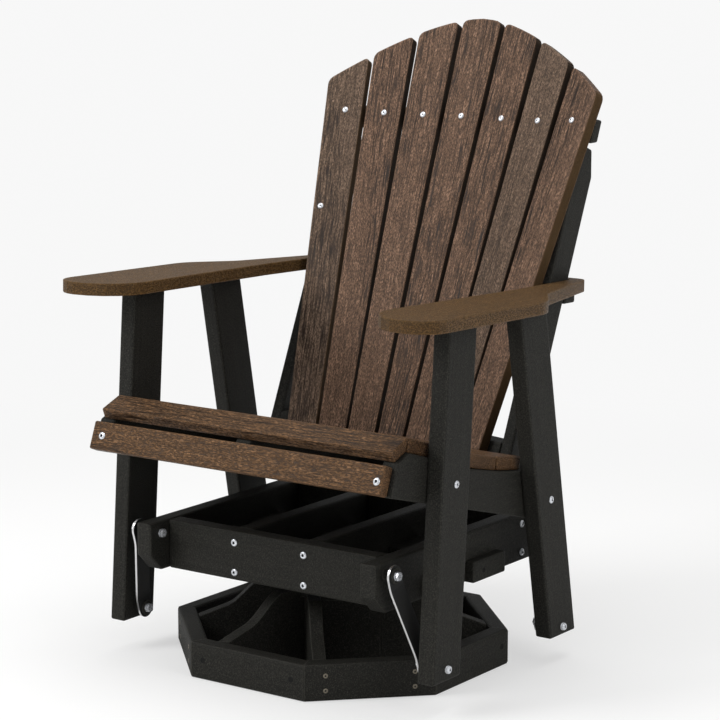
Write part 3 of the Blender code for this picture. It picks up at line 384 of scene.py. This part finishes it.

# %% [markdown]
# Three looks cover the brown boards. The back is streaky, the seat is warmer in tone and a little shinier
# where people slide on it, and the arms are almost smooth, with only a stipple and a larger rounding. Two
# slats of the back take a greyer pale tone, a painted sheen.

# %% Brown boards
BROWNS = {
    "back": {
        "dark": (0.018, 0.0100, 0.0060),     # tone of the hollows
        "pale": (0.390, 0.234, 0.152),       # tone of the raised grain
        "roughness": 0.46, "gloss": 0.18,
        "streaky": 0.84,                     # strength of the streaks
        "specks": 620.0, "stretch": 0.34,    # the stipple's specks per metre, and their shape
        "rounding": EDGE_ROUND,
    },
    "arm": {
        "dark": (0.030, 0.0155, 0.0045), "pale": (0.178, 0.095, 0.031),
        "roughness": 0.46, "gloss": 0.18, "streaky": 0.30,
        "specks": 420.0, "stretch": 0.60, "rounding": 0.006,
    },
    "seat": {
        "dark": (0.014, 0.0070, 0.0032), "pale": (0.278, 0.148, 0.068),
        "roughness": 0.40, "gloss": 0.18, "streaky": 0.80,
        "specks": 560.0, "stretch": 0.26, "rounding": EDGE_ROUND,
    },
}
# Two slats take a greyer pale tone, a painted sheen.
SHEEN_SLATS, SHEEN_PALE = ("back_slat_1", "back_slat_6"), (0.325, 0.218, 0.150)
# Painted shade on the narrow sides of the back slats.
SIDE_SHADES = {f"back_slat_{n}": (0.026, 0.016, 0.009) for n in range(2, 7)}
SIDE_SHADES["back_slat_1"] = SIDE_SHADES["back_slat_7"] = (0.075, 0.043, 0.018)

for number, (name, heading) in enumerate(sorted(headings.items())):
    look = BROWNS[name.split("_")[0]]
    if name in SHEEN_SLATS:
        look = look | {"pale": SHEEN_PALE}
    boards[name].material_slots[0].material = brown_lumber(
        "brown_" + name, heading, number, look, SIDE_SHADES.get(name))
print("brown finish on", len(headings), "boards")

# %% [markdown]
# ## Charcoal lumber
#
# The frame is the same plastic without the emboss. It has a dull skin with a fine orange-peel
# grain that sparkles a little, and faint lines along the board from the die that it came through.
#
# The side rails and the legs are solids that hold their own bolts: a sleeve that keeps the strap
# off the board, a shank, washer and nut, and on the legs' outer faces a head. A band of distances
# from the chair's middle plane, as wide as board and sleeve, says what is black, and all that lies
# outside the band is zinc. A second material slot would need the mesh to be changed.

# %% Charcoal finish
CHARCOAL_LOW, CHARCOAL_HIGH = (0.0057, 0.0055, 0.0046), (0.062, 0.0595, 0.0495)
CHARCOAL_HIGHLIGHT = (0.087, 0.084, 0.071)
CHARCOAL_ROUGHNESS, CHARCOAL_GLOSS = 0.50, 0.16
PEEL_PER_METRE, PEEL_ROUGHNESS = 430.0, 0.75
PEEL_HEIGHT, PEEL_TONE, PEEL_DULL = (0.35, 0.75), (0.42, 0.80), (0.3, 0.7)
LINES_PER_METRE, LINE_STRETCH = 160.0, 0.02
LINE_HEIGHT, LINE_TONE = 0.3, 0.2
DULL_SPREAD, HIGHLIGHT_SHEEN = 0.18, 0.2
PEEL_DEPTH = 0.0006
BOLT_ZINC, BOLT_METALLIC, BOLT_SHINE = (0.80, 0.82, 0.86), 0.65, 0.32


def charcoal_lumber(name, heading, band):
    """Dull charcoal plastic, its faint lines along a heading, and zinc outside a band if given."""
    finish = Finish(name, CHARCOAL_ROUGHNESS, CHARCOAL_GLOSS)
    along = along_board(finish, heading)
    peel = noise(finish, along, PEEL_PER_METRE, roughness=PEEL_ROUGHNESS)
    lines = noise(finish, drawn_out(finish, along, LINE_STRETCH), LINES_PER_METRE)
    height = smooth_share(peel, *PEEL_HEIGHT) + lines * LINE_HEIGHT
    colour = finish.tint(smooth_share(peel, *PEEL_TONE) * (1.0 - LINE_TONE) + lines * LINE_TONE,
                         CHARCOAL_LOW, CHARCOAL_HIGH)
    # Painted highlight along every edge: a paler tone and a smoother surface.
    highlight = edge_highlight_share(finish, EDGE_ROUND)
    colour = finish.tint(highlight, colour, CHARCOAL_HIGHLIGHT)
    roughness = CHARCOAL_ROUGHNESS + smooth_share(peel, *PEEL_DULL) * DULL_SPREAD - highlight * HIGHLIGHT_SHEEN
    if band:
        across = sideways(finish, finish.node("TexCoord", output="Object"))
        bolt = (across < band[0]).at_least(across > band[1])
        colour = finish.tint(bolt, colour, BOLT_ZINC)
        roughness = roughness - bolt * BOLT_SHINE
        height = height * (1.0 - bolt)
        finish.drive("Metallic", bolt * BOLT_METALLIC)
    finish.drive("Base Color", colour)
    finish.drive("Roughness", roughness)
    relief(finish, height, PEEL_DEPTH, EDGE_ROUND)
    return finish.made


print("the orange peel has grains of", round(1000.0 / PEEL_PER_METRE, 1), "mm")

# %% [markdown]
# Six materials cover all charcoal boards, by the way that they lie. The three for boards with bolts
# of their own also know between which distances from the middle plane the board lies.

# %% Charcoal boards
FRONT_LEG_LEAN, REAR_LEG_LEAN, UPRIGHT_LEAN = 4.36, 10.6, 23.7   # degrees
LENGTHWAYS = turned(("X", 90.0))
BLACK_HEADINGS = {
    "cross": turned(("Y", 90.0)), "deep": LENGTHWAYS, "side_rail": LENGTHWAYS,
    "front_leg": turned(("X", -FRONT_LEG_LEAN)), "rear_leg": turned(("X", REAR_LEG_LEAN)),
    "back": turned(("X", -UPRIGHT_LEAN)),
}
LEG_BAND, RAIL_BAND = (0.2994, 0.3508), (0.2250, 0.2801)   # metres from the middle plane
BANDS = {"front_leg": LEG_BAND, "rear_leg": LEG_BAND, "side_rail": RAIL_BAND}
DEEP_BOARDS = ("platform_inner", "seat_rail", "seat_centre", "base_rim_right", "base_rim_left")
charcoal = {name: charcoal_lumber("charcoal_" + name, heading, BANDS.get(name))
            for name, heading in BLACK_HEADINGS.items()}


def black_kind(name):
    """Which way a black board lies, by its name."""
    if name.startswith("leg_"):
        return name.split("_")[1] + "_leg"
    if name.startswith("back_upright"):
        return "back"
    if name in ("platform_rail_right", "platform_rail_left"):
        return "side_rail"
    return "deep" if name.startswith(DEEP_BOARDS) else "cross"


dressed = 0
for name, board in boards.items():
    if board.material_slots[0].material.name.startswith("black_lumber"):
        board.material_slots[0].material = charcoal[black_kind(name)]
        dressed += 1
print("charcoal finish on", dressed, "boards")

# %% [markdown]
# ## Zinc
#
# Screws and the swivel's plates are zinc plated: bright, slightly cloudy steel. A plain metal would
# look like chrome, so a fine noise dulls it in clouds. The screws keep a little of a paint's look,
# because a small full metal mirrors mostly the dark chair around it.

# %% Zinc finish
CLOUDS_PER_METRE, CLOUD_RISE = 420.0, (0.3, 0.7)
DULL_SHARE, CLOUD_SHINE = 0.7, 0.15


def zinc_plated(name, roughness, colour, metallic=1.0):
    """Bright plated steel, a little cloudy."""
    finish = Finish(name, roughness)
    finish.drive("Metallic", metallic)
    cloud = noise(finish, finish.node("TexCoord", output="Object"), CLOUDS_PER_METRE)
    dull = tuple(tone * DULL_SHARE for tone in colour)
    finish.drive("Base Color", finish.tint(smooth_share(cloud, *CLOUD_RISE), dull, colour))
    finish.drive("Roughness", roughness + cloud * CLOUD_SHINE)
    return finish.made


bright_zinc = zinc_plated("bright_zinc", 0.24, (0.90, 0.93, 0.98), 0.7)
plate_zinc = zinc_plated("plate_zinc", 0.34, (0.55, 0.56, 0.58))
old_zinc = zinc_plated("old_zinc", 0.4, (0.27, 0.24, 0.19))
print("three kinds of zinc")

# %% [markdown]
# ## Painted straps
#
# The four straps are steel bars painted black on their broad sides, with bare edges where they were
# cut. Two materials on one bar would again need the mesh to be changed, so the edges are found by
# the direction that the surface faces: a broad side faces right or left, an edge never does.

# %% Strap finish
BARE_FACING = (0.35, 0.6)
PAINT_PER_METRE = 700.0
PAINT_LOW, PAINT_HIGH = (0.010, 0.010, 0.010), (0.020, 0.020, 0.019)
BARE_STEEL = (0.72, 0.72, 0.72)
PAINT_ROUGHNESS, BARE_SHINE, PAINT_DULL = 0.42, 0.16, 0.1


def painted_strap():
    """Black paint on the broad sides of a steel bar, bare metal on its edges."""
    finish = Finish("painted_strap", PAINT_ROUGHNESS)
    facing = finish.node("TexCoord", output="Normal")
    bare = smooth_share(1.0 - sideways(finish, facing), *BARE_FACING)
    cloud = noise(finish, finish.node("TexCoord", output="Object"), PAINT_PER_METRE)
    paint = finish.tint(cloud, PAINT_LOW, PAINT_HIGH)
    finish.drive("Base Color", finish.tint(bare, paint, BARE_STEEL))
    finish.drive("Metallic", bare)
    finish.drive("Roughness", PAINT_ROUGHNESS - bare * BARE_SHINE + cloud * PAINT_DULL)
    return finish.made


strap_finish = painted_strap()
moving_gear = 0
for name, piece in boards.items():
    if name.startswith("swivel_") and "plank" not in name:
        piece.material_slots[0].material = plate_zinc
        moving_gear += 1
    if name.startswith("glide_link"):
        piece.material_slots[0].material = strap_finish
        moving_gear += 1
print("zinc or painted steel on", moving_gear, "pieces of the moving gear")

# %% [markdown]
# ## Screw heads
#
# A screw head is a low dome with a star recess. It could be cut from a sphere, but half of its
# outline is enough: it is drawn once, from the middle of the recess over the dome to the rim, and
# spun all the way round. Then the recess's wall is pushed in and out six times to make the star.
# The shade in a hole is painted as a flat dark disc in its place.

# %% Outlines that are spun
HEAD_STEPS = 36
MERGE = 1e-6


def spun(outline):
    """A closed body of revolution about Z, from points of radius and height that start on the axis."""
    bm = bmesh.new()
    points = [bm.verts.new((radius, 0.0, height)) for radius, height in outline]
    edges = [bm.edges.new(pair) for pair in zip(points, points[1:])]
    bmesh.ops.spin(bm, geom=points + edges, axis=(0.0, 0.0, 1.0), cent=(0.0, 0.0, 0.0),
                   angle=math.tau, steps=HEAD_STEPS, use_merge=True)
    bmesh.ops.remove_doubles(bm, verts=bm.verts, dist=MERGE)
    bmesh.ops.recalc_face_normals(bm, faces=bm.faces)
    return bm


print("outlines are spun in", HEAD_STEPS, "steps")

# %% Heads and painted hole shades
STAR_POINTS, STAR_DEPTH = 6.0, 0.17
RECESS_FLOOR, RECESS_FOOT = 0.15, 0.94   # shares of the head's height and of the recess's radius
DOME_SHARES = (0.2, 0.45, 0.65, 0.8, 0.92, 1.0)
DOME_FALL = 0.93
HEAD_SUNK = 0.0006                       # metres that a head reaches into its board
HOLE_SHADE_DISH = ((0.0, 0.0001), (0.72, 0.0002), (0.9, 0.0005), (1.0, 0.0))
HOLE_SHADE_SUNK = 0.0008


def screw_head(radius, height, recess):
    """A low dome with a star recess, the recess's faces in the second material slot, which paints their
    shade.
    """
    floor = height * RECESS_FLOOR
    outline = [(0.0, floor), (recess * RECESS_FOOT, floor), (recess, height)]
    for share in DOME_SHARES:
        fall = math.sqrt(1.0 - share * share * DOME_FALL)
        outline.append((recess + (radius - recess) * share, height * fall))
    outline += [(radius, -HEAD_SUNK), (0.0, -HEAD_SUNK)]
    bm = spun(outline)
    for v in bm.verts:
        if v.co.z > 0.0 and v.co.xy.length < recess + MERGE:
            v.co.xy *= 1.0 + STAR_DEPTH * math.cos(STAR_POINTS * math.atan2(v.co.y, v.co.x))
    for face in bm.faces:
        middle = face.calc_center_median()
        face.material_index = int(middle.z > 0.0 and middle.xy.length < recess)
        face.smooth = middle.xy.length > recess
    return bm


def hole_shade_disc(radius):
    """A dark disc that sits in a hole and paints its shade, a little dished."""
    outline = [(radius * share, height) for share, height in HOLE_SHADE_DISH]
    return spun(outline + [(radius, -HOLE_SHADE_SUNK), (0.0, -HOLE_SHADE_SUNK)])


slat_head = screw_head(0.0056, 0.0024, 0.0014)      # metres
bolt_head = screw_head(0.0066, 0.0026, 0.0027)
corner_head = screw_head(0.0042, 0.0006, 0.0017)
print("a head has", len(slat_head.faces), "faces, and a plug", len(hole_shade_disc(0.005).faces))

# %% [markdown]
# ## Where they go
#
# Each head is put down like a real screw: a line is sent from outside towards the board, and where
# it meets the surface the head is set, its axis along the surface's own direction. Writing three
# distances and two leans for each screw would do too, but here the boards give most of them, and
# only two distances per screw are written.

# %% Setting a head on a board
OUTSIDE = 1.0                                # metres from the middle, where the lines start
ENDS = ((-1.0, "front"), (1.0, "rear"))
HANDS = ((1.0, "right"), (-1.0, "left"))
surfaces = {}


def seat_on(board, start, way):
    """Matrix that sets a head on a board's surface, where a line from a point meets it."""
    if board not in surfaces:
        bm = bmesh.new()
        bm.from_mesh(boards[board].data)
        surfaces[board] = BVHTree.FromBMesh(bm)
        bm.free()
    spot, facing, _, _ = surfaces[board].ray_cast(Vector(start), Vector(way))
    return Matrix.Translation(spot) @ facing.to_track_quat("Z", "Y").to_matrix().to_4x4()


def from_front(board, x, z, end=-1.0):
    """A place on the front of a board, or with an end of 1 on its rear."""
    return seat_on(board, (x, OUTSIDE * end, z), (0.0, -end, 0.0))


def from_side(board, y, z, hand):
    """A place on the outer side of a board, seen from the right with a hand of 1."""
    return seat_on(board, (OUTSIDE * hand, y, z), (-hand, 0.0, 0.0))


print("heads are set from the front, from the rear and from both sides")

# %% Making one object of many heads
def hardware(name, body, shape, places, finishes):
    """One object with a copy of a shape at every place, moving with a body."""
    whole = bmesh.new()
    for place in places:
        copy = shape.copy()
        bmesh.ops.transform(copy, matrix=place, verts=copy.verts)
        scrap = bpy.data.meshes.new("scrap")
        copy.to_mesh(scrap)
        copy.free()
        whole.from_mesh(scrap)
        bpy.data.meshes.remove(scrap)
    mesh = bpy.data.meshes.new(name)
    whole.to_mesh(mesh)
    whole.free()
    for finish in finishes:
        mesh.materials.append(finish)
    piece = bpy.data.objects.new(name, mesh)
    bpy.context.scene.collection.objects.link(piece)
    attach(piece, body)
    print(name, len(places), "places,", len(mesh.polygons), "faces")


print("a group of heads or plugs becomes one object")

# %% Dark finishes that paint shade
DARK_GLOSS, DARK_WARMTH = 0.2, 0.95


def near_black(name, tone, roughness):
    """A plain dark finish that paints the shade in recesses and holes."""
    finish = Finish(name, roughness, DARK_GLOSS)
    finish.drive("Base Color", (tone, tone, tone * DARK_WARMTH, 1.0))
    return finish.made


# Painted shade: the recesses of the screw heads, and the holes.
recess_shade = near_black("recess_shade", 0.012, 0.6)
hole_shade = near_black("hole_shade", 0.006, 0.7)
print("dark finishes:", recess_shade.name, "and", hole_shade.name)

# %% [markdown]
# ## Screws of the back
#
# One screw through each slat holds it to the curved brace behind. They were driven by hand, so the
# row isn't quite level. The slat at the left, as seen from the front, has a second one lower down.

# %% Screws of the back
SLAT_X = (-0.2476, -0.1663, -0.0832, 0.0, 0.0901, 0.1736, 0.2518)
SLAT_Z = (0.9395, 0.9370, 0.9370, 0.9383, 0.9385, 0.9392, 0.9448)
LOWER_SLAT_SCREW = (-0.250, 0.763)

places = [from_front(f"back_slat_{n + 1}", x, z) for n, (x, z) in enumerate(zip(SLAT_X, SLAT_Z))]
places.append(from_front("back_slat_1", *LOWER_SLAT_SCREW))
hardware("slat_screws", "chair", slat_head, places, (bright_zinc, recess_shade))

# %% [markdown]
# ## Screws of the platform, the legs and the apron
#
# The frame is held by heavier screws with a larger recess: four in each end rail and each side rail
# of the platform, two in each leg, of which the lower one caps the strap's bolt, and two in the
# apron. The platform's screws ride on the platform and the others on the chair, so they become two
# objects.

# %% Screws of the platform, the legs and the apron
END_RAIL_X, END_RAIL_Z = (-0.0775, 0.0725), (0.2345, 0.181)
SIDE_RAIL_Y, SIDE_RAIL_Z = (-0.199, 0.199), (0.2345, 0.1825)
FRONT_LEG_SCREWS = ((-0.1565, 0.3865), (-0.181, 0.0757))   # y and z
REAR_LEG_SCREWS = ((0.145, 0.302), (0.189, 0.0625))
APRON_SCREWS = ((-0.2865, 0.4165), (0.2985, 0.4135))       # x and z

places = [from_front("platform_rail_" + name, x, z, end)
          for end, name in ENDS for x in END_RAIL_X for z in END_RAIL_Z]
places += [from_side("platform_rail_" + name, y, z, hand)
           for hand, name in HANDS for y in SIDE_RAIL_Y for z in SIDE_RAIL_Z]
hardware("platform_screws", "platform", bolt_head, places, (bright_zinc, recess_shade))

places = [from_side("leg_front_" + name, y, z, hand) for hand, name in HANDS for y, z in FRONT_LEG_SCREWS]
places += [from_side("leg_rear_" + name, y, z, hand) for hand, name in HANDS for y, z in REAR_LEG_SCREWS]
places += [from_front("seat_apron", x, z) for x, z in APRON_SCREWS]
hardware("frame_screws", "chair", bolt_head, places, (bright_zinc, recess_shade))

# %% [markdown]
# ## Painted shade in the holes of the base and the planks
#
# The ribs and the planks are screwed on from outside, with the heads sunk in drilled holes, so only a
# dark round spot of shade shows. Drilling the solids for a spot of a few millimetres isn't worth the
# facets, so a black disc in the place of each hole paints its shade.

# %% Painted hole shades
HOLE_RADIUS, PLANK_HOLE_RADIUS = 0.0052, 0.0045
RIM_END_X, RIM_END_Z = (-0.096, 0.095), 0.0355
RIM_SIDE_Y, RIM_SIDE_Z = (-0.093, 0.093), 0.037
PLANK_Y, PLANK_Z = 0.0469, 0.1851

# Dark discs that paint the shade in the holes of the base and the planks.
places = [from_front("base_rim_" + name, x, RIM_END_Z, end) for end, name in ENDS for x in RIM_END_X]
places += [from_side("base_rim_" + name, y, RIM_SIDE_Z, hand) for hand, name in HANDS for y in RIM_SIDE_Y]
hardware("base_hole_shades", "root", hole_shade_disc(HOLE_RADIUS), places, (hole_shade,))
places = [from_side("swivel_plank_" + name, PLANK_Y * end, PLANK_Z, hand)
          for end, name in ENDS for hand, _ in HANDS]
hardware("plank_hole_shades", "platform", hole_shade_disc(PLANK_HOLE_RADIUS), places, (hole_shade,))

# %% [markdown]
# ## Screws of the base's corners
#
# The four boards that cut the corners are held at each end by two small screws, now dull and
# yellowish. These boards stand at 45 degrees, so the places are measured along the board from its
# middle, and the line is sent in square to the board.

# %% Screws of the base's corners
CORNER_MIDDLE = (0.2035, 0.194)
ALONG_CORNER = (-0.0770, 0.0770)
CORNER_Z = (0.045, 0.0188)

places = []
for end, end_name in ENDS:
    for hand, hand_name in HANDS:
        middle = Vector((CORNER_MIDDLE[0] * hand, CORNER_MIDDLE[1] * end, 0.0))
        out = Vector((hand, end, 0.0)).normalized()
        run = Vector((-out.y, out.x, 0.0))
        for along in ALONG_CORNER:
            for z in CORNER_Z:
                start = middle + run * along + out * OUTSIDE + Vector((0.0, 0.0, z))
                places.append(seat_on(f"base_rim_{end_name}_{hand_name}", start, -out))
hardware("base_screws", "root", corner_head, places, (old_zinc, recess_shade))

# %% [markdown]
# ## Floor
#
# The studio is a white floor without an end. Near the chair the floor is a real surface that takes
# its shadow, and further out it fades into the same even white as the world, so no horizon shows.
# A curved backdrop would do it too, but it would be in the way of a camera behind the chair. The
# camera sees darker paint with a glow of its own, together about as bright as the white around
# them, so that the shadow stays light. Light that bounces off the floor still meets pale paint.

# %% Floor
WHITE = 0.935
FLOOR_PAINT, FLOOR_SEEN = (0.84, 0.84, 0.835), (0.47, 0.47, 0.467)
FLOOR_GLOW = 0.49
FLOOR_FADE = (0.9, 2.4)      # metres from the middle
FLOOR_RADIUS, FLOOR_SIDES = 5.0, 96


def floor_finish():
    """White floor that takes shadows near the chair and fades into the white of the world."""
    finish = Finish("studio_floor", 0.9, 0.0)
    place = finish.node("TexCoord", output="Object")
    reach = finish.node("VectorMath", {"operation": "LENGTH"}, {0: place}, "Value")
    seen = finish.node("LightPath", output="Is Camera Ray")
    finish.drive("Base Color", finish.tint(seen, FLOOR_PAINT, FLOOR_SEEN))
    glow = finish.node("Emission", (), {"Color": (1.0, 1.0, 1.0, 1.0), "Strength": seen * FLOOR_GLOW})
    near = finish.node("AddShader", (), {0: Reading(finish, finish.shader.outputs["BSDF"]), 1: glow})
    far = finish.node("Emission", (), {"Color": (WHITE, WHITE, WHITE, 1.0), "Strength": 1.0})
    mixed = finish.node("MixShader", (), {0: smooth_share(reach, *FLOOR_FADE), 1: near, 2: far})
    finish.feed(finish.tree.nodes["Material Output"].inputs["Surface"], mixed)
    return finish.made


bm = bmesh.new()
bmesh.ops.create_circle(bm, cap_ends=True, segments=FLOOR_SIDES, radius=FLOOR_RADIUS)
mesh = bpy.data.meshes.new("floor")
bm.to_mesh(mesh)
bm.free()
mesh.materials.append(floor_finish())
floor = bpy.data.objects.new("floor", mesh)
bpy.context.scene.collection.objects.link(floor)
print("floor of", FLOOR_RADIUS, "m radius, fading from", FLOOR_FADE[0], "m on")

# %% [markdown]
# ## World
#
# The world is both the white behind the chair and a weak light from everywhere. What the camera
# sees has the white of the floor's far part. What lights the chair is only about half as strong,
# because most light comes from the lamps, and metal mirrors a little less again.

# %% World
WORLD_LIGHT = 0.5
MIRRORED_LIGHT = 0.45

world = bpy.data.worlds.new("studio")
bpy.context.scene.world = world
world.use_nodes = True
studio = Net(world.node_tree)
seen, mirrored, through = [
    studio.node("LightPath", output=f"Is {kind} Ray") for kind in ("Camera", "Glossy", "Transmission")]
shown = seen.at_least(through)
lighting = mirrored * MIRRORED_LIGHT + (1.0 - mirrored) * WORLD_LIGHT
background = studio.tree.nodes["Background"]
studio.feed(background.inputs["Color"], (1.0, 1.0, 1.0, 1.0))
studio.feed(background.inputs["Strength"], shown * WHITE + (1.0 - shown) * lighting)
print("world light", WORLD_LIGHT)

# %% [markdown]
# ## Lamps
#
# The picture has very soft shadows, as large cloth-covered lamps give. Point lamps would draw hard
# ones. Three square area lamps do it: the strongest in front on the left, a weak one on the right
# and one above.

# %% Lamps
SOFTBOXES = {   # place, point that it looks at, side of the square in metres, power in watts
    "key_softbox": ((-1.9, -2.4, 2.6), (0.0, 0.0, 0.5), 1.6, 70.0),
    "fill_softbox": ((3.2, -0.6, 2.0), (0.0, 0.0, 0.5), 1.8, 24.0),
    "top_softbox": ((0.0, 0.4, 3.4), (0.0, 0.0, 0.0), 2.4, 45.0),
}

for name, (place, target, side, power) in SOFTBOXES.items():
    lamp = bpy.data.lights.new(name, "AREA")
    lamp.shape = "SQUARE"
    lamp.size = side
    lamp.energy = power
    softbox = bpy.data.objects.new(name, lamp)
    bpy.context.scene.collection.objects.link(softbox)
    softbox.location = place
    softbox.rotation_euler = (Vector(target) - Vector(place)).to_track_quat("-Z", "Y").to_euler()
print(len(SOFTBOXES), "softboxes")

# %% [markdown]
# ## Size and view
#
# A dressed model must stay as large as its solids. The render shows its colours through the Standard view
# transform.

# %% Size and view
bpy.context.scene.view_settings.view_transform = "Standard"
